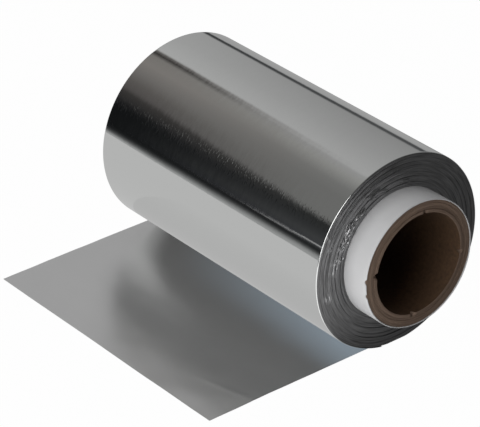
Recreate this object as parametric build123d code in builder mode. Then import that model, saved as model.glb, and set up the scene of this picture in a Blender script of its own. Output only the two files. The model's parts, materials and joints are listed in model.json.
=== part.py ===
"""Hair foil roll: bright foil wound on a paper core, its loose end drawn off flat in front.

Millimetres. X runs along the roll's axis, -Y points the way the loose end is drawn off, and
+Z is up. The origin is the centre of the core's bore.
"""

import os
from math import sqrt

from build123d import *

# Core
bore_diameter = 38.0
kraft_wall = 4.6
white_ply = 0.4
core_overhang = 11.0

# Foil
foil_width = 120.0
roll_diameter = 73.2
tail_length = 81.4
tail_offset = -2.2
sheet_thickness = 0.2
rest_flat = 0.6

# Bands of turns in each face, from the core outwards: share of the winding, and setback from the face
near_bands = (
    (1.0, 0.3),
    (0.6, 0.1),
    (1.2, 0.35),
    (0.7, 0.2),
    (0.9, 0.4),
    (0.6, 0.05),
    (1.3, 0.25),
    (0.5, 0.1),
    (0.9, 0.3),
    (0.7, 0.05),
    (1.1, 0.2),
    (0.5, 0.0),
    (0.8, 0.15),
    (0.6, 0.05),
)
far_bands = (
    (0.8, 0.1),
    (1.1, 0.35),
    (0.6, 0.2),
    (0.9, 0.05),
    (1.2, 0.3),
    (0.5, 0.15),
    (1.0, 0.4),
    (0.7, 0.2),
    (0.6, 0.05),
    (1.2, 0.15),
    (0.8, 0.3),
    (0.5, 0.1),
    (0.9, 0.0),
    (0.6, 0.05),
)

# Plies in each end of the kraft tube, from the bore outwards: share of the wall, and setback from the cut
kraft_plies = ((1.0, 0.0), (1.0, 0.35), (1.0, 0.15), (1.0, 0.25))

# Chuck marks round the mouth of the bore, at the near end
chuck_marks = 4
chuck_mark_radius = 0.7
chuck_mark_depth = 1.6
chuck_mark_setback = 0.3
chuck_mark_angle = 83.0

# Torn places along the near edge of the white ply
torn_angles = (176.0, 190.0)
torn_radius = 0.9
torn_depth = 0.8

bore_radius = bore_diameter / 2
kraft_radius = bore_radius + kraft_wall
core_radius = kraft_radius + white_ply
core_length = foil_width + 2 * core_overhang
roll_radius = roll_diameter / 2
floor_height = rest_flat - roll_radius
flat_half_width = sqrt(2 * roll_radius * rest_flat - rest_flat**2)


def stepped_end(inner_radius, outer_radius, face, layers, side):
    """Points along one end of a winding, from its inside out, in a half section drawn over X.

    Each layer is its share of the wall, and how far it stands back from the face.
    """
    unit = (outer_radius - inner_radius) / sum(share for share, _ in layers)
    radius = inner_radius
    points = []
    for share, setback in layers:
        x = side * (face - setback)
        points.append((x, radius))
        radius += share * unit
        points.append((x, radius))
    return points


# Kraft tube, wound from plies whose cut edges show at both ends
with BuildPart() as cardboard_core:
    with BuildSketch(Plane.XY):
        with BuildLine():
            near_end = stepped_end(bore_radius, kraft_radius, core_length / 2, kraft_plies, 1)
            far_end = stepped_end(bore_radius, kraft_radius, core_length / 2, kraft_plies, -1)
            Polyline(*near_end, *reversed(far_end), close=True)
        make_face()
    revolve(axis=Axis.X)
    with BuildSketch(Plane.YZ.offset(core_length / 2)):
        with PolarLocations(bore_radius + chuck_mark_setback, chuck_marks, chuck_mark_angle):
            Circle(chuck_mark_radius)
    extrude(amount=-chuck_mark_depth, mode=Mode.SUBTRACT)
cardboard_core.part.label = "cardboard_core"

# White paper ply glued round the kraft tube, torn in two places at the near end
with BuildPart() as white_paper_ply:
    with BuildSketch(Plane.YZ):
        Circle(core_radius)
        Circle(kraft_radius, mode=Mode.SUBTRACT)
    extrude(amount=core_length / 2, both=True)
    for angle in torn_angles:
        with BuildSketch(Plane.YZ.offset(core_length / 2)):
            with PolarLocations(core_radius, 1, angle):
                Circle(torn_radius)
        extrude(amount=-torn_depth, mode=Mode.SUBTRACT)
white_paper_ply.part.label = "white_paper_ply"

# Foil: the wound turns, flattened a little where the roll rests, and the loose end of the last turn
with BuildPart() as foil:
    with BuildSketch(Plane.XY):
        with BuildLine():
            near_end = stepped_end(core_radius, roll_radius, foil_width / 2, near_bands, 1)
            far_end = stepped_end(core_radius, roll_radius, foil_width / 2, far_bands, -1)
            Polyline(*near_end, *reversed(far_end), close=True)
        make_face()
    revolve(axis=Axis.X)
    split(bisect_by=Plane.XY.offset(floor_height), keep=Keep.TOP)
    with BuildSketch(Plane.XY.offset(floor_height)):
        with Locations((tail_offset, flat_half_width)):
            Rectangle(foil_width, tail_length + flat_half_width, align=(Align.CENTER, Align.MAX))
    extrude(amount=sheet_thickness)
foil.part.label = "foil"

os.makedirs("parts", exist_ok=True)
for piece in (cardboard_core, white_paper_ply, foil):
    export_step(piece.part, f"parts/{piece.part.label}.step")
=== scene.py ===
"""Hair foil roll: bright foil wound on a papered kraft tube, its loose end drawn off flat.

The file is laid out as an add-on and run as a script. It winds the foil, builds the tube and
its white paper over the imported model, and sets the table, the light tent and the camera.
"""

import json
import math

import bpy
from mathutils import Euler, Matrix, Vector, noise


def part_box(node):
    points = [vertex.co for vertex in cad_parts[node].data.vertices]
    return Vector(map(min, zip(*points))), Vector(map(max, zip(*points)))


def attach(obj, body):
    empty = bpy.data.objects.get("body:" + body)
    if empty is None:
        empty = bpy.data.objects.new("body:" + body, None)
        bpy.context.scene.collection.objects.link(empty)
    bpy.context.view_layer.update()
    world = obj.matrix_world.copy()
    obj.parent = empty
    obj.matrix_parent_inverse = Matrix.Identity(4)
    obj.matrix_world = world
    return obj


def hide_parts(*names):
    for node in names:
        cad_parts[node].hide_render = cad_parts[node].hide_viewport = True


bl_info = {
    "name": "Hair Foil Roll",
    "version": (1, 0, 0),
    "blender": (4, 5, 0),
    "location": "3D Viewport > Sidebar > Foil Roll",
    "description": "Winds a roll of hairdressing foil on its paper core and sets a table for it",
    "category": "Object",
}

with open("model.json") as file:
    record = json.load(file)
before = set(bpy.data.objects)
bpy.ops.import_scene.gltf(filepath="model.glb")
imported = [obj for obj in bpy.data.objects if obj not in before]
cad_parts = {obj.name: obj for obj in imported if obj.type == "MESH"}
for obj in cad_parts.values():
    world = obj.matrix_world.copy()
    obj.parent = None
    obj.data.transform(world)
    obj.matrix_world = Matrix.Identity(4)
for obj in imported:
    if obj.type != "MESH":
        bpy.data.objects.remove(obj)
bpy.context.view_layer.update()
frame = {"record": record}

MM = 0.001

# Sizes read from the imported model
FOIL_LOW, FOIL_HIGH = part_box("foil")
KRAFT_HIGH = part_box("cardboard_core")[1]
PAPER_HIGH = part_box("white_paper_ply")[1]
MOUNTS = {mount["name"]: mount for mount in frame["record"]["mounts"]}
TABLE_HEIGHT = FOIL_LOW.z
ROLL_RADIUS = FOIL_HIGH.y
FACE = FOIL_HIGH.x
TAIL_OFFSET = FOIL_LOW.x + FOIL_HIGH.x
TAIL_END = FOIL_LOW.y
CORE_RADIUS = PAPER_HIGH.y
KRAFT_RADIUS = KRAFT_HIGH.y
CORE_END = KRAFT_HIGH.x
BORE_RADIUS = MOUNTS["core_bore"]["dims"]["r_mm"] * MM

# Bands of turns in each face, from the core outwards: share of the winding, and setback in millimetres
NEAR_BANDS = (
    (1.0, 0.3),
    (0.6, 0.1),
    (1.2, 0.35),
    (0.7, 0.2),
    (0.9, 0.4),
    (0.6, 0.05),
    (1.3, 0.25),
    (0.5, 0.1),
    (0.9, 0.3),
    (0.7, 0.05),
    (1.1, 0.2),
    (0.5, 0.0),
    (0.8, 0.15),
    (0.6, 0.05),
)
FAR_BANDS = (
    (0.8, 0.1),
    (1.1, 0.35),
    (0.6, 0.2),
    (0.9, 0.05),
    (1.2, 0.3),
    (0.5, 0.15),
    (1.0, 0.4),
    (0.7, 0.2),
    (0.6, 0.05),
    (1.2, 0.15),
    (0.8, 0.3),
    (0.5, 0.1),
    (0.9, 0.0),
    (0.6, 0.05),
)

# How far each kraft ply stands back from the tube's cut end, in millimetres, from the bore outwards
KRAFT_PLIES = (0.0, 0.35, 0.15, 0.25)

# Chuck marks round the mouth of the bore: angle, radius, width and depth, all but the angle in millimetres
CHUCK_MARKS = (
    (83.0, 19.6, 0.6, 1.6),
    (173.0, 19.3, 0.9, 1.2),
    (-97.0, 19.3, 0.9, 1.4),
    (-7.0, 19.4, 0.7, 1.6),
)

# Torn places on the near edge of the white paper: angle, then width and depth in millimetres
PAPER_TEARS = ((176.0, 0.9, 0.8), (190.0, 0.8, 0.7), (212.0, 0.6, 0.35), (30.0, 1.2, 0.25))

# Bent edges of turns in the near face: angle, then radius and size in millimetres, then strength
BENT_EDGES = (
    (141.5, 27.2, 1.7, 9.0),
    (145.0, 27.3, 1.7, 3.0),
    (151.0, 27.2, 1.6, 1.2),
    (144.0, 25.4, 1.2, 0.5),
    (133.0, 26.8, 1.3, 0.7),
    (127.0, 26.7, 1.2, 0.7),
    (157.0, 27.3, 1.5, 0.9),
    (165.0, 26.7, 1.5, 0.7),
    (170.0, 28.8, 1.6, 0.5),
    (158.0, 32.4, 0.9, 0.6),
    (152.0, 35.0, 0.9, 0.6),
    (104.0, 26.7, 1.6, 0.5),
    (81.0, 26.6, 1.4, 0.5),
    (112.0, 28.0, 1.8, 0.7),
    (117.0, 30.0, 1.2, 0.5),
    (95.0, 33.0, 1.2, 0.4),
    (176.0, 29.3, 1.6, 0.3),
    (193.0, 32.6, 1.4, 0.25),
)

# Heights in millimetres where the last turn's fine wrinkles fade in, from below and from above
CREASED_HEIGHTS = ((18, 19.5), (23.5, 21.5))

# Seeds of the noise at the near end, 1, and at the far end, -1
BAND_SEEDS = {1: 11.0, -1: 23.0}
FACE_SEEDS = {1: 40.0, -1: 60.0}
KRAFT_SEEDS = {1: 5.0, -1: 9.0}
PAPER_SEEDS = {1: 31.0, -1: -31.0}


def linear(code):
    """Turns an sRGB hex code into linear red, green and blue."""
    channels = (int(code[place : place + 2], 16) / 255 for place in (1, 3, 5))
    return tuple(c / 12.92 if c <= 0.04045 else ((c + 0.055) / 1.055) ** 2.4 for c in channels)


def grey(level):
    """A grey light of a given level."""
    return (level, level, level)


def colour(name, description, code):
    """A colour property whose default is an sRGB hex code."""
    return bpy.props.FloatVectorProperty(
        name=name, description=description, subtype="COLOR", size=3, min=0.0, max=1.0, default=linear(code)
    )


def length(name, description, metres):
    """A length property."""
    return bpy.props.FloatProperty(
        name=name, description=description, unit="LENGTH", min=0.0, precision=5, default=metres
    )


def number(name, description, default, **settings):
    """A plain number property."""
    return bpy.props.FloatProperty(name=name, description=description, default=default, **settings)


def vector(name, description, default, subtype="TRANSLATION"):
    """A property of three numbers: a place, or a turn about three axes."""
    return bpy.props.FloatVectorProperty(
        name=name, description=description, subtype=subtype, size=3, default=default
    )


class FoilSettings(bpy.types.PropertyGroup):
    """The foil: its winding, its last turn and its loose end."""

    sheet: length("Sheet", "Thickness that the last turn and the loose end are drawn with", 0.05 * MM)
    relief: length("Relief", "Height of the shallow waves in the last turn", 0.01 * MM)
    ripple: length("Ripple", "Height of the waves in the loose end where it lies on the table", 0.3 * MM)
    edge_wander: length("Edge wander", "How unevenly a turn's edge runs round the face", 0.045 * MM)
    layers: bpy.props.IntProperty(name="Layers", description="Layers drawn in a near band", default=3, min=1)
    steps: bpy.props.IntProperty(name="Steps", description="Steps round the roll", default=180, min=24)
    shoulder: length("Shoulder", "Radius that the last turn's edges are pressed to", 0.32 * MM)
    bright: colour("Bright side", "Reflection of the side rolled against polished steel", "#E6E7E6")
    matte: colour("Matte side", "Reflection of the side rolled against the next sheet", "#EFEFEF")
    edges: colour("Cut edges", "Reflection of the slit edges of the turns", "#AEAEAF")


class CoreSettings(bpy.types.PropertyGroup):
    """The kraft tube and its white paper."""

    steps: bpy.props.IntProperty(name="Steps", description="Steps round the tube", default=360, min=24)
    seam_pitch: length("Seam pitch", "How far the spiral seam climbs in one turn", 92.0 * MM)
    kraft: colour("Kraft", "Colour of the kraft board", "#9E8674")
    kraft_dark: colour("Glue lines", "Colour of the glued joints between the plies", "#5E4C3F")
    # The bore wall is darker than the cut end: partly the board's own tone, partly painted shade for the
    # deep bore
    wall: colour("Bore wall", "Colour of the bore's wall", "#6B4F37")
    wall_dark: colour("Bore wall, dark", "Colour of the bore wall's darker fibres and its seam", "#3A2919")
    paper: colour("Paper", "Colour of the white paper", "#D8D8D9")


class StageSettings(bpy.types.PropertyGroup):
    """The table, the light and the camera."""

    table: colour("Table", "Colour of the table's paper", "#D2D3D5")
    table_front: length("Table front", "How far the table reaches in front of the roll", 250.0 * MM)
    table_back: length("Table back", "How far the table reaches behind the roll", 640.0 * MM)
    table_side: length("Table side", "How far the table reaches to each side", 1100.0 * MM)
    table_turn: number("Table turn", "How far the table is turned", math.radians(-1.5), subtype="ANGLE")
    whiteness: number("Whiteness", "Share of plain white in the table as the camera sees it", 0.985)
    # The glow and the deep glow are painted light, which the table gives off to every ray but the camera's
    glow: number("Glow", "Brightness of the table as the foil mirrors it", 0.56)
    deep_glow: number("Deep glow", "Brightness of the table in a mirror image of a mirror image", 0.13)
    # A painted bluish light, seen only in mirror images of mirror images
    painted_gap_light: colour("Haze", "Pale light in the narrow gap where the loose end leaves the roll", "#97A3AE")
    tent_strength: number("Tent strength", "Strength of the light tent", 1.2)
    panel_power: number("Panel power", "Power of the soft panel in front", 9.0, subtype="POWER")
    panel_width: length("Panel width", "Width of the soft panel in front", 1.1)
    panel_height: length("Panel height", "Height of the soft panel in front", 1.5)
    panel_place: vector("Panel place", "Where the soft panel stands", (0.12, -0.95, 0.55))
    camera_place: vector("Camera place", "Where the photograph was taken from", (0.7115, -0.5884, 0.5195))
    camera_turn: vector(
        "Camera turn",
        "Turn, tilt below level and roll of the camera",
        (math.radians(51.43), math.radians(29.892), math.radians(-0.79)),
        "EULER",
    )
    focal_length: number("Focal length", "Focal length in millimetres", 222.86)
    sensor_width: number("Sensor width", "Width of the camera's sensor in millimetres", 36.0)


class FoilRollSettings(bpy.types.PropertyGroup):
    """Everything that a user would change."""

    foil: bpy.props.PointerProperty(type=FoilSettings)
    core: bpy.props.PointerProperty(type=CoreSettings)
    stage: bpy.props.PointerProperty(type=StageSettings)


def add_node(tree, kind, settings=None, inputs=None):
    """Adds a node, sets what settings names on it, and fills or links the sockets that inputs names."""
    node = tree.nodes.new(kind)
    for name, value in (settings or {}).items():
        if name == "stops":
            while len(node.color_ramp.elements) < len(value):
                node.color_ramp.elements.new(0.5)
            for element, (place, code) in zip(node.color_ramp.elements, value):
                element.position = place
                element.color = (*linear(code), 1.0)
        else:
            setattr(node, name, value)
    for socket, value in (inputs or {}).items():
        if isinstance(value, bpy.types.NodeSocket):
            tree.links.new(value, node.inputs[socket])
        else:
            node.inputs[socket].default_value = value
    return node


def new_material(name):
    """A material with an empty node tree, and that tree."""
    material = bpy.data.materials.new(name)
    material.use_nodes = True
    material.node_tree.nodes.clear()
    return material, material.node_tree


def grain(tree, across, along):
    """Noise drawn out along the foil's length, from its size across and along in metres."""
    place = add_node(tree, "ShaderNodeTexCoord").outputs["Object"]
    stretched = add_node(
        tree, "ShaderNodeMapping", inputs={"Vector": place, "Scale": (1 / across, 1 / along, 1 / along)}
    )
    return add_node(
        tree, "ShaderNodeTexNoise", inputs={"Vector": stretched.outputs[0], "Scale": 1.0, "Detail": 2.0}
    ).outputs["Fac"]


def across_the_strip(tree):
    """The direction across the foil, in which the rolling lines scatter light."""
    axis = add_node(tree, "ShaderNodeCombineXYZ", inputs={"X": 1.0, "Y": 0.0, "Z": 0.0})
    turned = add_node(
        tree,
        "ShaderNodeVectorTransform",
        {"vector_type": "VECTOR", "convert_from": "OBJECT", "convert_to": "WORLD"},
        {"Vector": axis.outputs[0]},
    )
    return turned.outputs[0]


def bright_foil(settings):
    """Aluminium foil, the side rolled against polished steel.

    Near mirror, softened across the strip by rolling lines, with fine wrinkles that glint.
    """
    material, tree = new_material("bright_rolled_foil")
    streaks = grain(tree, 0.3 * MM, 30 * MM)
    roughness = add_node(
        tree,
        "ShaderNodeMapRange",
        inputs={"Value": streaks, "From Min": 0.3, "From Max": 0.7, "To Min": 0.04, "To Max": 0.06},
    )
    wrinkles = grain(tree, 0.8 * MM, 1.6 * MM)
    creases = add_node(
        tree, "ShaderNodeMapRange", inputs={"Value": wrinkles, "From Min": 0.52, "From Max": 0.85}
    ).outputs[0]
    place = add_node(tree, "ShaderNodeTexCoord").outputs["Object"]
    height = add_node(tree, "ShaderNodeSeparateXYZ", inputs={0: place}).outputs["Z"]
    for absent, whole in CREASED_HEIGHTS:
        pressed = add_node(
            tree,
            "ShaderNodeMapRange",
            inputs={"Value": height, "From Min": absent * MM, "From Max": whole * MM},
        )
        creases = add_node(
            tree, "ShaderNodeMath", {"operation": "MULTIPLY"}, {0: creases, 1: pressed.outputs[0]}
        ).outputs[0]
    glints = add_node(
        tree, "ShaderNodeBump", inputs={"Height": creases, "Strength": 1.0, "Distance": 0.018 * MM}
    )
    handling = grain(tree, 3.0 * MM, 5.0 * MM)
    bump = add_node(
        tree,
        "ShaderNodeBump",
        inputs={"Height": handling, "Strength": 1.0, "Distance": 0.01 * MM, "Normal": glints.outputs[0]},
    )
    shader = add_node(
        tree,
        "ShaderNodeBsdfPrincipled",
        inputs={
            "Base Color": (*settings.bright, 1.0),
            "Metallic": 1.0,
            "Roughness": roughness.outputs[0],
            "Anisotropic": 0.5,
            "Tangent": across_the_strip(tree),
            "Normal": bump.outputs[0],
        },
    )
    add_node(tree, "ShaderNodeOutputMaterial", inputs={"Surface": shader.outputs[0]})
    return material


def matte_foil(settings):
    """Aluminium foil, the side rolled against the next sheet.

    Satin grey: it blurs what it mirrors, more across the strip than along it.
    """
    material, tree = new_material("matte_rolled_foil")
    rolling_lines = grain(tree, 0.5 * MM, 24 * MM)
    roughness = add_node(
        tree,
        "ShaderNodeMapRange",
        inputs={"Value": rolling_lines, "From Min": 0.3, "From Max": 0.7, "To Min": 0.275, "To Max": 0.29},
    )
    shader = add_node(
        tree,
        "ShaderNodeBsdfPrincipled",
        inputs={
            "Base Color": (*settings.matte, 1.0),
            "Metallic": 1.0,
            "Roughness": roughness.outputs[0],
            "Anisotropic": 0.3,
            "Tangent": across_the_strip(tree),
        },
    )
    add_node(tree, "ShaderNodeOutputMaterial", inputs={"Surface": shader.outputs[0]})
    return material


def distance_from_axis(tree):
    """The distance from the roll's axis, and the place it was measured at."""
    place = add_node(tree, "ShaderNodeTexCoord").outputs["Object"]
    flat = add_node(tree, "ShaderNodeVectorMath", {"operation": "MULTIPLY"}, {0: place, 1: (0.0, 1.0, 1.0)})
    radius = add_node(tree, "ShaderNodeVectorMath", {"operation": "LENGTH"}, {0: flat.outputs[0]})
    return radius.outputs["Value"], place


def rings(tree, spacing, drift):
    """Noise in fine rings about the axis, spacing apart, each fading in and out over the drift."""
    radius, place = distance_from_axis(tree)
    counted = add_node(tree, "ShaderNodeMath", {"operation": "DIVIDE"}, {0: radius, 1: spacing})
    slow = add_node(tree, "ShaderNodeVectorMath", {"operation": "SCALE"}, {0: place, "Scale": 1 / drift})
    parts = add_node(tree, "ShaderNodeSeparateXYZ", inputs={0: slow.outputs[0]})
    where = add_node(
        tree,
        "ShaderNodeCombineXYZ",
        inputs={"X": counted.outputs[0], "Y": parts.outputs["Y"], "Z": parts.outputs["Z"]},
    )
    return add_node(
        tree, "ShaderNodeTexNoise", inputs={"Vector": where.outputs[0], "Scale": 1.0, "Detail": 2.0}
    ).outputs["Fac"]


def slit_edges(settings):
    """Slit edges of wound foil: fine bright rings on grey, drawn coarser than the real 0.015 mm turns."""
    material, tree = new_material("slit_foil_edges")
    lines = rings(tree, 0.3 * MM, 7 * MM)
    level = add_node(
        tree,
        "ShaderNodeMapRange",
        inputs={"Value": lines, "From Min": 0.35, "From Max": 0.65, "To Min": 0.6, "To Max": 1.0},
    )
    shade = add_node(
        tree,
        "ShaderNodeVectorMath",
        {"operation": "SCALE"},
        {0: tuple(settings.edges), "Scale": level.outputs[0]},
    )
    proud = add_node(tree, "ShaderNodeMapRange", inputs={"Value": lines, "From Min": 0.5, "From Max": 0.75})
    bump = add_node(
        tree, "ShaderNodeBump", inputs={"Height": proud.outputs[0], "Strength": 1.0, "Distance": 0.025 * MM}
    )
    shader = add_node(
        tree,
        "ShaderNodeBsdfPrincipled",
        inputs={
            "Base Color": shade.outputs[0],
            "Metallic": 1.0,
            "Roughness": 0.3,
            "Normal": bump.outputs[0],
        },
    )
    add_node(tree, "ShaderNodeOutputMaterial", inputs={"Surface": shader.outputs[0]})
    return material


def kraft_cut_end(settings):
    """Kraft board, sawn across its plies: brown rings with darker glue lines and loose fibres."""
    material, tree = new_material("sawn_kraft_board")
    plies = rings(tree, 0.5 * MM, 14 * MM)
    fibres = rings(tree, 0.12 * MM, 2.5 * MM)
    shade = add_node(
        tree,
        "ShaderNodeMix",
        {"data_type": "RGBA"},
        {0: plies, 6: (*settings.kraft_dark, 1.0), 7: (*settings.kraft, 1.0)},
    )
    bump = add_node(
        tree, "ShaderNodeBump", inputs={"Height": fibres, "Strength": 1.0, "Distance": 0.12 * MM}
    )
    shader = add_node(
        tree,
        "ShaderNodeBsdfPrincipled",
        inputs={"Base Color": shade.outputs[2], "Roughness": 0.82, "Normal": bump.outputs[0]},
    )
    add_node(tree, "ShaderNodeOutputMaterial", inputs={"Surface": shader.outputs[0]})
    return material


def kraft_wall(settings):
    """Kraft board, wound: the bore's dark brown wall, partly the board's own tone and partly painted shade,
    with its spiral seam and long fibres.
    """
    material, tree = new_material("wound_kraft_board")
    place = add_node(tree, "ShaderNodeTexCoord").outputs["Object"]
    parts = add_node(tree, "ShaderNodeSeparateXYZ", inputs={0: place})
    angle = add_node(
        tree, "ShaderNodeMath", {"operation": "ARCTAN2"}, {0: parts.outputs["Z"], 1: parts.outputs["Y"]}
    )
    turns = add_node(tree, "ShaderNodeMath", {"operation": "DIVIDE"}, {0: angle.outputs[0], 1: math.tau})
    climb = add_node(
        tree,
        "ShaderNodeMath",
        {"operation": "MULTIPLY_ADD"},
        {0: parts.outputs["X"], 1: 1 / settings.seam_pitch, 2: turns.outputs[0]},
    )
    wound = add_node(tree, "ShaderNodeMath", {"operation": "FRACT"}, {0: climb.outputs[0]})
    seam = add_node(
        tree,
        "ShaderNodeValToRGB",
        {"stops": ((0.0, "#000000"), (0.012, "#FFFFFF"), (0.985, "#FFFFFF"), (1.0, "#000000"))},
        {"Fac": wound.outputs[0]},
    )
    fibres = add_node(
        tree, "ShaderNodeTexNoise", inputs={"Vector": place, "Scale": 1 / (1.2 * MM), "Detail": 4.0}
    )
    board = add_node(
        tree,
        "ShaderNodeMix",
        {"data_type": "RGBA"},
        {0: fibres.outputs["Fac"], 6: (*settings.wall_dark, 1.0), 7: (*settings.wall, 1.0)},
    )
    shade = add_node(
        tree,
        "ShaderNodeMix",
        {"data_type": "RGBA"},
        {0: seam.outputs[0], 6: (*settings.wall_dark, 1.0), 7: board.outputs[2]},
    )
    bump = add_node(
        tree, "ShaderNodeBump", inputs={"Height": seam.outputs[0], "Strength": 1.0, "Distance": 0.2 * MM}
    )
    shader = add_node(
        tree,
        "ShaderNodeBsdfPrincipled",
        inputs={"Base Color": shade.outputs[2], "Roughness": 0.78, "Normal": bump.outputs[0]},
    )
    add_node(tree, "ShaderNodeOutputMaterial", inputs={"Surface": shader.outputs[0]})
    return material


def white_paper(settings):
    """Uncoated white paper, glued down: soft and matte, faintly cloudy, with a fine tooth."""
    material, tree = new_material("uncoated_white_paper")
    place = add_node(tree, "ShaderNodeTexCoord").outputs["Object"]
    cloud = add_node(
        tree, "ShaderNodeTexNoise", inputs={"Vector": place, "Scale": 1 / (6 * MM), "Detail": 3.0}
    ).outputs["Fac"]
    tooth = add_node(
        tree, "ShaderNodeTexNoise", inputs={"Vector": place, "Scale": 1 / (0.3 * MM), "Detail": 2.0}
    ).outputs["Fac"]
    level = add_node(
        tree,
        "ShaderNodeMapRange",
        inputs={"Value": cloud, "From Min": 0.3, "From Max": 0.7, "To Min": 0.95, "To Max": 1.0},
    )
    shade = add_node(
        tree,
        "ShaderNodeVectorMath",
        {"operation": "SCALE"},
        {0: tuple(settings.paper), "Scale": level.outputs[0]},
    )
    bump = add_node(tree, "ShaderNodeBump", inputs={"Height": tooth, "Strength": 1.0, "Distance": 0.02 * MM})
    shader = add_node(
        tree,
        "ShaderNodeBsdfPrincipled",
        inputs={"Base Color": shade.outputs[0], "Roughness": 0.75, "Normal": bump.outputs[0]},
    )
    add_node(tree, "ShaderNodeOutputMaterial", inputs={"Surface": shader.outputs[0]})
    return material


def mesh_piece(name, vertices, faces, materials, picks, node):
    """Makes a smooth closed piece that rides with the roll and stands for a CAD node, which it hides.

    picks gives each face's place in the list of materials.
    """
    mesh = bpy.data.meshes.new(name)
    mesh.from_pydata(vertices, [], faces)
    for material in materials:
        mesh.materials.append(material)
    mesh.polygons.foreach_set("material_index", picks)
    mesh.polygons.foreach_set("use_smooth", [True] * len(faces))
    mesh.update()
    mesh.set_sharp_from_angle(angle=math.radians(52))
    piece = bpy.data.objects.new(name, mesh)
    bpy.context.scene.collection.objects.link(piece)
    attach(piece, "root")
    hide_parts(node)


def turned(profile, steps, shape):
    """Vertices and faces of a closed profile of (x, radius, material) points turned once about X.

    shape moves each point, from its x, radius and angle. Each face has the material of the
    profile point that it starts at.
    """
    count = len(profile)
    vertices = []
    for step in range(steps):
        angle = step / steps * math.tau
        for x, radius, _ in profile:
            x, radius = shape(x, radius, angle)
            vertices.append((x, radius * math.cos(angle), radius * math.sin(angle)))
    faces = []
    picks = []
    for step in range(steps):
        here = step * count
        there = (step + 1) % steps * count
        for point, (_, _, material) in enumerate(profile):
            after = (point + 1) % count
            faces.append((here + point, there + point, there + after, here + after))
            picks.append(material)
    return vertices, faces, picks


def fade_in(value, start, reach):
    """How far a value is past the start, as a share of the reach, from 0 to 1."""
    return min(max((value - start) / reach, 0.0), 1.0)


def wander(angle, radius, seed, pitch):
    """Smooth noise round the axis, which changes over the pitch from one radius to the next."""
    waves = 1.7
    return noise.noise(Vector((waves * math.cos(angle) + seed, waves * math.sin(angle), radius / pitch)))


def spot_at(angle, radius, spot_angle, spot_radius, width):
    """How strongly a flat-topped spot on a face acts at an angle and a radius: 1 at its middle."""
    turn = math.radians(spot_angle) - angle
    sideways = radius * math.atan2(math.sin(turn), math.cos(turn))
    away = math.hypot(sideways, radius - spot_radius * MM) / (width * MM)
    return math.exp(-(away**4))


def face_layers(bands, layers, seed):
    """Inner radius, outer radius and setback of each layer of turns in one face, from the core outwards."""
    found = []
    unit = (ROLL_RADIUS - CORE_RADIUS) / sum(share for share, _ in bands)
    start = CORE_RADIUS
    for count, (share, setback) in enumerate(bands):
        cuts = [0.0]
        for layer in range(1, layers):
            shift = 0.5 * noise.noise(Vector((seed, 5.3 * count, 2.1 * layer)))
            cuts.append((layer + shift) / layers)
        cuts.append(1.0)
        for layer in range(layers):
            jitter = 0.12 * MM * noise.noise(Vector((7.7 * layer + seed, 3.1 * count, 0.5)))
            inner = start + share * unit * cuts[layer]
            outer = start + share * unit * cuts[layer + 1]
            found.append((inner, outer, max(setback * MM + jitter, 0.0)))
        start += share * unit
    return found


def winding_profile(settings):
    """Half section of the winding: near face outwards, along the roll, far face inwards."""
    shoulder = settings.shoulder
    clearance = 2.2 * settings.sheet
    under = ROLL_RADIUS - clearance
    rim = under - shoulder
    bands_end, flat_start = rim - 0.5 * shoulder, rim - 0.4 * shoulder
    chamfer = 0.05 * MM
    drop = 0.015 * MM
    hair = 0.005 * MM
    sides = []
    for side, bands, layers in ((1, NEAR_BANDS, settings.layers), (-1, FAR_BANDS, 1)):
        points = []
        for inner, outer, setback in face_layers(bands, layers, BAND_SEEDS[side]):
            x = FACE - setback
            outer = min(outer, under)
            points.append((side * x, inner + hair, 1))
            points.append((side * x, max(outer - 4 * chamfer, inner + 2 * hair), 1))
            points.append((side * x, outer - chamfer, 1))
            points.append((side * (x - drop), outer, 1))
        last = FACE - bands[-1][1] * MM
        points = [point for point in points if point[1] < bands_end]
        points.append((side * last, flat_start, 1))
        points.append((side * last, rim, 1))
        points.append((side * (last - shoulder), under, 0))
        sides.append(points)
    near, far = sides
    return near + far[::-1]


def wind_turns(settings):
    """The winding under the last turn, with edges that wander, and that are bent over in places."""
    clearance = 1.6 * settings.sheet
    flat = TABLE_HEIGHT + clearance
    group = 1.4 * MM
    outermost = ROLL_RADIUS - 3 * MM
    end_from, end_reach = 0.9 * FACE, 0.1 * FACE
    hair = 0.001 * MM
    bevel = 0.2 * MM
    slope = 2.1
    glints_round, glint_pitch, glint_seed = 20, 0.35 * MM, 2.6
    glint_mean, glint_contrast = 0.4, 8
    edges = sorted(outer for _, outer, _ in face_layers(NEAR_BANDS, settings.layers, BAND_SEEDS[1]))

    def shape(x, radius, angle):
        side = 1 if x > 0 else -1
        move = settings.edge_wander * wander(angle, radius, FACE_SEEDS[side], group)
        if radius > outermost:
            move = min(move, 0.0)
        if side > 0:
            edge_out = next((outer for outer in edges if outer >= radius - hair), radius)
            bent = max(strength * spot_at(angle, radius, *spot) for *spot, strength in BENT_EDGES)
            pattern = noise.noise(Vector((angle * glints_round, edge_out / glint_pitch, glint_seed)))
            broken = bent * (glint_mean + glint_contrast * pattern)
            move += slope * min(edge_out - radius, bevel) * min(max(broken, 0.0), 1.0)
        sunk = flat / min(radius * math.sin(angle), flat) if math.sin(angle) < 0 else 1.0
        return x + side * fade_in(abs(x), end_from, end_reach) * move, radius * min(sunk, 1.0)

    # The faces need finer steps than the last turn, for their small glints
    steps = settings.steps * 4 // 3
    return turned(winding_profile(settings), steps, shape)


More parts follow.
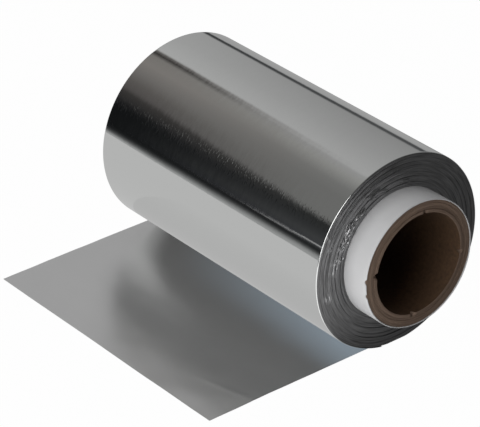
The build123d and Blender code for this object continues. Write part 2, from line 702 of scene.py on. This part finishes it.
def strip_path(settings):
    """The last turn and the loose end, from the roll's front, over its top and back, to the cut end.

    Each place is (y, z, outward y, outward z, share of the wander done, share of the ripple).
    """
    middle = ROLL_RADIUS - settings.sheet / 2
    floor = TABLE_HEIGHT + settings.sheet / 2
    bottom = math.asin(floor / middle)
    start = math.tau + bottom - 2 * (bottom + math.pi / 2)
    places = []
    for step in range(settings.steps + 1):
        share = step / settings.steps
        angle = start + (bottom - start) * share
        out_y, out_z = math.cos(angle), math.sin(angle)
        late = max(2 * share - 1, 0.0)
        done = late * late * (3 - 2 * late)
        places.append((middle * out_y, middle * out_z, out_y, out_z, done, 0.0))
    leave = middle * math.cos(bottom)
    nip = -leave
    rows_under, rows_in_front = 4, 96
    for step in range(1, rows_under + 1):
        places.append((leave + (nip - leave) * step / rows_under, floor, 0.0, -1.0, 1.0, 0.0))
    for step in range(1, rows_in_front + 1):
        share = step / rows_in_front
        y = nip + (TAIL_END - nip) * share
        places.append((y, floor, 0.0, -1.0, 1.0, min(4 * share, 1.0)))
    return places


def ripple_at(x, y):
    """Height of the loose end's waves and of its one crease at a place, from 0 to 1."""
    broad = noise.noise(Vector((x / (34 * MM), y / (22 * MM), 3.0)))
    small = noise.noise(Vector((x / (13 * MM), y / (9 * MM), 8.0)))
    crease_start, crease_reach = 32 * MM, 10 * MM
    crease_x, crease_y, crease_slope = 42 * MM, -66 * MM, 0.25
    off_crease = (y - crease_y - crease_slope * (x - crease_x)) / MM
    crease = fade_in(x, crease_start, crease_reach) * math.exp(-(off_crease**2))
    return min(max(0.4 + 0.6 * broad + 0.28 * small + 0.2 * crease, 0.0), 1.0)


def strip_columns(shoulder):
    """Places across the foil from its middle: close together at the pressed edges, even between them."""
    even_columns = 54
    edge = [FACE - shoulder * share for share in (0.0, 0.08, 0.2, 0.36, 0.56, 0.78, 1.0)]
    inside = FACE - 2 * shoulder
    middle = [inside * (1 - 2 * column / even_columns) for column in range(even_columns + 1)]
    return [-x for x in edge] + middle[::-1] + edge[::-1]


def last_turn(settings, first):
    """The last turn and the loose end, as one thin closed sheet: bright outside, matte inside."""
    across = strip_columns(settings.shoulder)
    thick = settings.sheet
    places = strip_path(settings)
    roundness = 0.85
    clear_of_table = 4 * MM
    vertices = []
    for outward in (0.5, -0.5):
        for y, z, out_y, out_z, done, ripple in places:
            height = fade_in(abs(z - TABLE_HEIGHT), 0.0, clear_of_table)
            for from_middle in across:
                x = from_middle + TAIL_OFFSET * done
                rise = ripple * settings.ripple * ripple_at(x, y)
                wave = noise.noise(Vector((x / (16 * MM), y / (9 * MM), z / (9 * MM))))
                inset = max(1 - (FACE - abs(from_middle)) / settings.shoulder, 0.0)
                pressed = settings.shoulder * (1 - math.sqrt(1 - roundness * inset * inset))
                off = outward * thick + height * (settings.relief * wave - pressed)
                vertices.append((x, y + out_y * off, z + out_z * off + rise))
    columns = len(across) - 1
    row = columns + 1
    side = len(places) * row
    faces = []
    picks = []

    def join_sides(a, b, flip):
        """Closes the sheet's edge between two neighbouring points."""
        faces.append((b, b + side, a + side, a) if flip else (a, a + side, b + side, b))
        picks.append(0)

    for place in range(len(places) - 1):
        for column in range(columns):
            a = first + place * row + column
            b, c, d = a + 1, a + row + 1, a + row
            faces.append((a, b, c, d))
            faces.append((a + side, d + side, c + side, b + side))
            picks += [0, 2]
        for column, flip in ((0, False), (columns, True)):
            a = first + place * row + column
            join_sides(a, a + row, flip)
    for place, flip in ((0, True), (len(places) - 1, False)):
        for column in range(columns):
            a = first + place * row + column
            join_sides(a, a + 1, flip)
    return vertices, faces, picks


class FOILROLL_OT_wind_foil(bpy.types.Operator):
    """Winds the foil on the core and draws its loose end off over the table"""

    bl_idname = "foil_roll.wind_foil"
    bl_label = "Wind Foil"

    def execute(self, context):
        settings = context.scene.foil_roll.foil
        vertices, faces, picks = wind_turns(settings)
        more_vertices, more_faces, more_picks = last_turn(settings, len(vertices))
        materials = [bright_foil(settings), slit_edges(settings), matte_foil(settings)]
        mesh_piece(
            "wound_foil",
            vertices + more_vertices,
            faces + more_faces,
            materials,
            picks + more_picks,
            "foil",
        )
        return {"FINISHED"}


class FOILROLL_OT_build_tube(bpy.types.Operator):
    """Builds the kraft tube, with its plies, chuck marks and bore"""

    bl_idname = "foil_roll.build_tube"
    bl_label = "Build Tube"

    def execute(self, context):
        settings = context.scene.foil_roll.core
        ply = (KRAFT_RADIUS - BORE_RADIUS) / len(KRAFT_PLIES)
        rows, wall_rows = 4, 24
        groove = 0.06 * MM
        waviness, wave_pitch = 0.12 * MM, 0.9 * MM
        fuzz, fuzz_round, fuzz_pitch = 0.05 * MM, 40, 0.25 * MM
        sides = []
        for side in (1, -1):
            points = []
            for count, setback in enumerate(KRAFT_PLIES):
                x = CORE_END - setback * MM
                inner = BORE_RADIUS + count * ply
                for part in range(rows + 1):
                    dip = groove if part in (0, rows) else 0.0
                    points.append((side * (x - dip), inner + ply * part / rows, 0))
            sides.append(points)
        near, far = sides
        wall = [(CORE_END * (2 * part / wall_rows - 1), BORE_RADIUS, 1) for part in range(1, wall_rows)]
        profile = near + far[::-1] + wall

        def shape(x, radius, angle):
            side = 1 if x > 0 else -1
            seed = KRAFT_SEEDS[side]
            at_end = fade_in(abs(x), CORE_END - 4 * MM, 3 * MM)
            move = waviness * wander(angle, radius, seed, wave_pitch)
            move += fuzz * noise.noise(Vector((angle * fuzz_round, radius / fuzz_pitch, seed)))
            if side > 0:
                for *mark, depth in CHUCK_MARKS:
                    move -= depth * MM * spot_at(angle, radius, *mark)
            return x + side * at_end * min(move, 0.0), radius

        vertices, faces, picks = turned(profile, settings.steps, shape)
        mesh_piece(
            "kraft_tube",
            vertices,
            faces,
            [kraft_cut_end(settings), kraft_wall(settings)],
            picks,
            "cardboard_core",
        )
        return {"FINISHED"}


class FOILROLL_OT_paper_tube(bpy.types.Operator):
    """Glues the white paper round the kraft tube"""

    bl_idname = "foil_roll.paper_tube"
    bl_label = "Paper Tube"

    def execute(self, context):
        settings = context.scene.foil_roll.core
        inner, outer = KRAFT_RADIUS, CORE_RADIUS
        rim = 0.12 * MM
        rows, row_length = 9, 1.4 * MM
        waviness, wave_pitch = 0.05 * MM, 4 * MM
        profile = [(CORE_END - rim, inner, 0), (CORE_END, inner + rim, 0), (CORE_END, outer - rim, 0)]
        profile += [(CORE_END - rim - row * row_length, outer, 0) for row in range(rows)]
        profile += [(-x, radius, 0) for x, radius, _ in reversed(profile)]

        def shape(x, radius, angle):
            side = 1 if x > 0 else -1
            at_end = fade_in(abs(x), CORE_END - 3 * MM, 2.5 * MM)
            move = waviness * wander(angle, radius, PAPER_SEEDS[side], wave_pitch)
            if side > 0:
                for tear_angle, width, depth in PAPER_TEARS:
                    move -= depth * MM * spot_at(angle, radius, tear_angle, outer / MM, width)
            return x + side * at_end * min(move, 0.0), radius

        vertices, faces, picks = turned(profile, settings.steps, shape)
        mesh_piece(
            "white_paper", vertices, faces, [white_paper(settings)], picks, "white_paper_ply"
        )
        return {"FINISHED"}


# Cloths of the light tent at its far and near ends: angle about the roll's axis from behind, and tone
FAR_CLOTHS = (
    (-180, "#131415"),
    (-176, "#1C1D1E"),
    (-174, "#303132"),
    (-172, "#4A4B4B"),
    (-170.4, "#707171"),
    (-169, "#949595"),
    (-165, "#949595"),
    (-161, "#202122"),
    (-12, "#202122"),
    (-9, "#9A9A9A"),
    (-2.5, "#9A9A9A"),
    (0, "#363738"),
    (5, "#363738"),
    (8, "#959595"),
    (45, "#9C9C9C"),
    (74, "#A6A6A6"),
    (75.4, "#6A6765"),
    (80, "#706D6A"),
    (85, "#74716E"),
    (97, "#7A7673"),
    (112, "#6B6866"),
    (124, "#575452"),
    (133, "#4E4B4A"),
    (138, "#363433"),
    (146, "#2C2B2B"),
    (151, "#1C1C1D"),
    (157, "#111213"),
    (180, "#131415"),
)
NEAR_CLOTHS = (
    (-180, "#2A2B2C"),
    (-178.5, "#202122"),
    (-176.5, "#2C2D2E"),
    (-174.5, "#525353"),
    (-172.5, "#7C7D7D"),
    (-170.5, "#8E8F8F"),
    (-165, "#989999"),
    (-161, "#202122"),
    (-12, "#202122"),
    (-9, "#949494"),
    (-4, "#949494"),
    (-1, "#464748"),
    (4.5, "#464748"),
    (8, "#848484"),
    (47.4, "#929292"),
    (78.1, "#A0A0A0"),
    (80.1, "#929292"),
    (87.1, "#8A8A88"),
    (98.2, "#6F6F6E"),
    (108.2, "#696968"),
    (132, "#6B6B6A"),
    (138, "#282929"),
    (157, "#303132"),
    (171, "#3A3B3C"),
    (178, "#36373A"),
    (180, "#2A2B2C"),
)

# How far in degrees the cloths hang askew, and the share of it by angle, black for none and white for all
CLOTH_SKEW = 15
SKEW_BY_ANGLE = ((20, "#000000"), (76, "#959595"), (137, "#FFFFFF"), (153, "#FFFFFF"), (170, "#000000"))

# Thin lines in the tent: angle at its far end and near end, half width, tone, nearness where whole and gone
TENT_LINES = (
    (79.3, 80.0, 4.6, "#302E2D", 0.05, 0.5),
    (188.9, 176.9, 1.1, "#A0A0A0", 0.95, 0.5),
)

# Directions along X in which the roll's far end and near end mirror the tent
TENT_FAR, TENT_NEAR = -0.712, -0.66


def round_the_axis(tones):
    """A ramp's stops from tones at angles of -180 to 180 degrees."""
    return {"stops": [((angle + 180) / 360, code) for angle, code in tones]}


def set_tent(settings):
    """The light tent: long bands of light and dark cloth beside the roll, and white for the camera."""
    world = bpy.data.worlds.new("light_tent")
    world.use_nodes = True
    tree = world.node_tree
    tree.nodes.clear()
    direction = add_node(tree, "ShaderNodeTexCoord").outputs["Generated"]
    parts = add_node(tree, "ShaderNodeSeparateXYZ", inputs={0: direction})
    angle = add_node(
        tree, "ShaderNodeMath", {"operation": "ARCTAN2"}, {0: parts.outputs["Z"], 1: parts.outputs["Y"]}
    )
    about = add_node(
        tree,
        "ShaderNodeMapRange",
        inputs={"Value": angle.outputs[0], "From Min": -math.pi, "From Max": math.pi},
    ).outputs[0]
    nearness = add_node(
        tree,
        "ShaderNodeMapRange",
        inputs={"Value": parts.outputs["X"], "From Min": TENT_FAR, "From Max": TENT_NEAR},
    ).outputs[0]
    skew = add_node(tree, "ShaderNodeValToRGB", round_the_axis(SKEW_BY_ANGLE), {"Fac": about})
    askew = add_node(tree, "ShaderNodeMath", {"operation": "MULTIPLY"}, {0: nearness, 1: skew.outputs[0]})
    about = add_node(
        tree,
        "ShaderNodeMath",
        {"operation": "MULTIPLY_ADD"},
        {0: askew.outputs[0], 1: -CLOTH_SKEW / 360, 2: about},
    ).outputs[0]
    far = add_node(tree, "ShaderNodeValToRGB", round_the_axis(FAR_CLOTHS), {"Fac": about})
    near = add_node(tree, "ShaderNodeValToRGB", round_the_axis(NEAR_CLOTHS), {"Fac": about})
    bands = add_node(
        tree, "ShaderNodeMix", {"data_type": "RGBA"}, {0: nearness, 6: far.outputs[0], 7: near.outputs[0]}
    ).outputs[2]
    for far_angle, near_angle, half_width, tone, whole, gone in TENT_LINES:
        middle = add_node(
            tree,
            "ShaderNodeMath",
            {"operation": "MULTIPLY_ADD"},
            {0: nearness, 1: (near_angle - far_angle) / 360, 2: (far_angle + 180) / 360},
        )
        past = add_node(tree, "ShaderNodeMath", {"operation": "SUBTRACT"}, {0: about, 1: middle.outputs[0]})
        away = add_node(tree, "ShaderNodeMath", {"operation": "ABSOLUTE"}, {0: past.outputs[0]})
        inside = add_node(
            tree,
            "ShaderNodeMapRange",
            inputs={"Value": away.outputs[0], "From Min": half_width / 360, "From Max": 0.0},
        )
        strong = add_node(
            tree, "ShaderNodeMapRange", inputs={"Value": nearness, "From Min": gone, "From Max": whole}
        )
        share = add_node(
            tree, "ShaderNodeMath", {"operation": "MULTIPLY"}, {0: inside.outputs[0], 1: strong.outputs[0]}
        )
        bands = add_node(
            tree,
            "ShaderNodeMix",
            {"data_type": "RGBA"},
            {0: share.outputs[0], 6: bands, 7: (*linear(tone), 1.0)},
        ).outputs[2]

    # In a mirror image of a mirror image the tent is a little paler
    first_images = 2.5
    paler = 0.12
    rays = add_node(tree, "ShaderNodeLightPath")
    deep = add_node(
        tree,
        "ShaderNodeMath",
        {"operation": "GREATER_THAN"},
        {0: rays.outputs["Ray Depth"], 1: first_images},
    )
    lift = add_node(tree, "ShaderNodeMath", {"operation": "MULTIPLY"}, {0: deep.outputs[0], 1: paler})
    lifted = add_node(
        tree, "ShaderNodeMix", {"data_type": "RGBA"}, {0: lift.outputs[0], 6: bands, 7: (*grey(0.5), 1.0)}
    )

    # Towards the near side the tent is dimmer
    dim_from, dim_to, dim_share = -0.3, 0.6, 0.25
    strength = add_node(
        tree,
        "ShaderNodeMapRange",
        inputs={
            "Value": parts.outputs["X"],
            "From Min": dim_from,
            "From Max": dim_to,
            "To Min": settings.tent_strength,
            "To Max": dim_share * settings.tent_strength,
        },
    )
    tent = add_node(
        tree, "ShaderNodeBackground", inputs={"Color": lifted.outputs[2], "Strength": strength.outputs[0]}
    )
    white = add_node(tree, "ShaderNodeBackground", inputs={"Color": (1.0, 1.0, 1.0, 1.0), "Strength": 1.0})
    mixed = add_node(
        tree,
        "ShaderNodeMixShader",
        inputs={0: rays.outputs["Is Camera Ray"], 1: tent.outputs[0], 2: white.outputs[0]},
    )
    add_node(tree, "ShaderNodeOutputWorld", inputs={"Surface": mixed.outputs[0]})
    bpy.context.scene.world = world


def glow_by_place(tree, base, patches):
    """Painted light that the foil mirrors from a sheet: the base, with patches of painted light and shade
    that fade in over their bounds.

    A patch is its light and its bounds. A bound is X or Y with millimetres, or the count of mirror
    images, from where the patch is absent to where it is whole.
    """
    place = add_node(tree, "ShaderNodeTexCoord").outputs["Object"]
    parts = add_node(tree, "ShaderNodeSeparateXYZ", inputs={0: place})
    rays = add_node(tree, "ShaderNodeLightPath")
    measures = {
        "X": (parts.outputs["X"], MM),
        "Y": (parts.outputs["Y"], MM),
        "images": (rays.outputs["Ray Depth"], 1),
    }
    light = (*base, 1.0)
    for patch, bounds in patches:
        share = 1.0
        for measure, absent, whole in bounds:
            socket, unit = measures[measure]
            gate = add_node(
                tree,
                "ShaderNodeMapRange",
                inputs={"Value": socket, "From Min": absent * unit, "From Max": whole * unit},
            )
            share = add_node(
                tree, "ShaderNodeMath", {"operation": "MULTIPLY"}, {0: gate.outputs[0], 1: share}
            ).outputs[0]
        light = add_node(
            tree, "ShaderNodeMix", {"data_type": "RGBA"}, {0: share, 6: light, 7: (*patch, 1.0)}
        ).outputs[2]
    return add_node(tree, "ShaderNodeEmission", inputs={"Color": light}), rays


def table_paper(settings):
    """Pale matte paper on the table: white to the camera, with a trace of the roll's shadow. To every other
    ray it is a pale painted glow, which the foil mirrors and which lights the roll, with painted shadow
    behind and beside the roll and painted light in front.
    """
    material, tree = new_material("pale_table_paper")
    glow = settings.glow
    patches = (
        # Painted shadow behind the roll, deeper towards the near end
        (grey(0.66 * glow), (("Y", 0, 50),)),
        (grey(0.33 * glow), (("Y", 0, 50), ("X", -125, 30))),
        # Beyond the near face, whose turns and rim mirror it: painted shade beside the roll, lighter further
        # out, and a painted pool of light in front
        (grey(0.18 * glow), (("X", 50, 60),)),
        (grey(0.84 * glow), (("X", 64, 112), ("Y", 32, 8))),
        (grey(2.2 * glow), (("X", 50, 60), ("Y", -20, -42))),
        # In mirror images of mirror images: a dim painted reflection of the table, lighter beyond the far
        # end
        (grey(settings.deep_glow), (("images", 1, 2),)),
        (grey(0.85 * glow), (("images", 1, 2), ("X", -52, -65), ("Y", -84, -66))),
    )
    mirrored, rays = glow_by_place(tree, grey(glow), patches)
    paper = add_node(tree, "ShaderNodeBsdfDiffuse", inputs={"Color": (*settings.table, 1.0)})
    white = add_node(tree, "ShaderNodeEmission", inputs={"Color": (1.0, 1.0, 1.0, 1.0), "Strength": 1.0})
    seen = add_node(
        tree, "ShaderNodeMixShader", inputs={0: settings.whiteness, 1: paper.outputs[0], 2: white.outputs[0]}
    )
    mixed = add_node(
        tree,
        "ShaderNodeMixShader",
        inputs={0: rays.outputs["Is Camera Ray"], 1: mirrored.outputs[0], 2: seen.outputs[0]},
    )
    add_node(tree, "ShaderNodeOutputMaterial", inputs={"Surface": mixed.outputs[0]})
    return material


def painted_reflection_card_paper(settings):
    """Pale glowing card that only the foil's mirror image shows, from above: a painted reflection that
    stands in for the table there, with painted shade next to the roll.

    In a mirror image of a mirror image it is dim, with a painted bluish light in the gap under the roll.
    """
    material, tree = new_material("pale_painted_reflection_card")
    glow = settings.glow
    patches = (
        (grey(0.88 * glow), (("Y", -80, -18),)),
        (grey(settings.deep_glow), (("images", 1, 2),)),
        (grey(0.85 * glow), (("images", 1, 2), ("X", -52, -65))),
        # Painted bluish light in the gap under the roll, in mirror images of mirror images
        (tuple(settings.painted_gap_light), (("images", 1, 2), ("Y", -30, -15), ("X", -45, 45))),
    )
    mirrored, _ = glow_by_place(tree, grey(glow), patches)
    clear = add_node(tree, "ShaderNodeBsdfTransparent")
    side = add_node(tree, "ShaderNodeNewGeometry").outputs["Backfacing"]
    mixed = add_node(
        tree, "ShaderNodeMixShader", inputs={0: side, 1: mirrored.outputs[0], 2: clear.outputs[0]}
    )
    add_node(tree, "ShaderNodeOutputMaterial", inputs={"Surface": mixed.outputs[0]})
    return material


def stage_sheet(name, low, high, height, material):
    """A flat sheet of the stage, from its low and high corners."""
    mesh = bpy.data.meshes.new(name)
    corners = [(low[0], low[1]), (high[0], low[1]), (high[0], high[1]), (low[0], high[1])]
    mesh.from_pydata([(x, y, 0.0) for x, y in corners], [], [(0, 1, 2, 3)])
    mesh.materials.append(material)
    sheet = bpy.data.objects.new(name, mesh)
    sheet.location.z = height
    bpy.context.scene.collection.objects.link(sheet)
    return sheet


def set_table(settings):
    """The table, and the card over the loose end that only the foil's mirror image shows: a glowing painted
    reflection.
    """
    side, front, back = settings.table_side, settings.table_front, settings.table_back
    table = stage_sheet("table", (-side, -front), (side, back), TABLE_HEIGHT, table_paper(settings))
    table.rotation_euler.z = settings.table_turn
    margin = 4 * MM
    inside_face = 2 * MM
    under_roll = 7 * MM
    above_table = 0.8 * MM
    low = (FOIL_LOW.x - margin, TAIL_END - margin)
    high = (FACE - inside_face, -under_roll)
    card = stage_sheet("painted_reflection_card", low, high, TABLE_HEIGHT + above_table, painted_reflection_card_paper(settings))
    card.visible_camera = False
    card.visible_diffuse = False
    card.visible_shadow = False
    card.visible_transmission = False


def set_front_panel(settings):
    """A soft oval lamp in front, which points at the roll."""
    lamp = bpy.data.lights.new("front_panel", "AREA")
    lamp.shape = "ELLIPSE"
    lamp.size = settings.panel_width
    lamp.size_y = settings.panel_height
    lamp.energy = settings.panel_power
    stand = bpy.data.objects.new("front_panel", lamp)
    stand.location = settings.panel_place
    stand.rotation_euler = (-stand.location).to_track_quat("-Z", "Y").to_euler()
    stand.visible_camera = False
    bpy.context.scene.collection.objects.link(stand)


def set_camera(settings):
    """The camera, at the photograph's viewing angle."""
    turn, tilt, roll = settings.camera_turn
    data = bpy.data.cameras.new("camera")
    data.sensor_fit = "HORIZONTAL"
    data.sensor_width = settings.sensor_width
    data.lens = settings.focal_length
    data.clip_start = 10 * MM
    data.clip_end = 50.0
    camera = bpy.data.objects.new("camera", data)
    aim = Euler((math.pi / 2 - tilt, 0.0, turn)).to_matrix() @ Matrix.Rotation(roll, 3, "Z")
    camera.matrix_world = Matrix.Translation(settings.camera_place) @ aim.to_4x4()
    bpy.context.scene.collection.objects.link(camera)
    bpy.context.scene.camera = camera


class FOILROLL_OT_set_stage(bpy.types.Operator):
    """Sets the table, the light tent, the lamp and the camera"""

    bl_idname = "foil_roll.set_stage"
    bl_label = "Set Stage"

    def execute(self, context):
        settings = context.scene.foil_roll.stage
        set_tent(settings)
        set_table(settings)
        set_front_panel(settings)
        set_camera(settings)
        context.scene.view_settings.view_transform = "Standard"
        return {"FINISHED"}


class FOILROLL_PT_sidebar(bpy.types.Panel):
    """Lists the foil roll's settings and steps"""

    bl_idname = "FOILROLL_PT_sidebar"
    bl_label = "Foil Roll"
    bl_space_type = "VIEW_3D"
    bl_region_type = "UI"
    bl_category = "Foil Roll"

    def draw(self, context):
        settings = context.scene.foil_roll
        for part in (settings.foil, settings.core, settings.stage):
            box = self.layout.box()
            for name in part.__annotations__:
                box.prop(part, name)
        for step in STEPS:
            self.layout.operator(step.bl_idname)


STEPS = (FOILROLL_OT_wind_foil, FOILROLL_OT_build_tube, FOILROLL_OT_paper_tube, FOILROLL_OT_set_stage)
CLASSES = (FoilSettings, CoreSettings, StageSettings, FoilRollSettings, *STEPS, FOILROLL_PT_sidebar)


def register():
    for part in CLASSES:
        bpy.utils.register_class(part)
    bpy.types.Scene.foil_roll = bpy.props.PointerProperty(type=FoilRollSettings)


def unregister():
    del bpy.types.Scene.foil_roll
    for part in reversed(CLASSES):
        bpy.utils.unregister_class(part)


def main():
    """Builds the roll and its stage."""
    register()
    bpy.ops.foil_roll.wind_foil()
    bpy.ops.foil_roll.build_tube()
    bpy.ops.foil_roll.paper_tube()
    bpy.ops.foil_roll.set_stage()


if __name__ == "__main__":
    main()
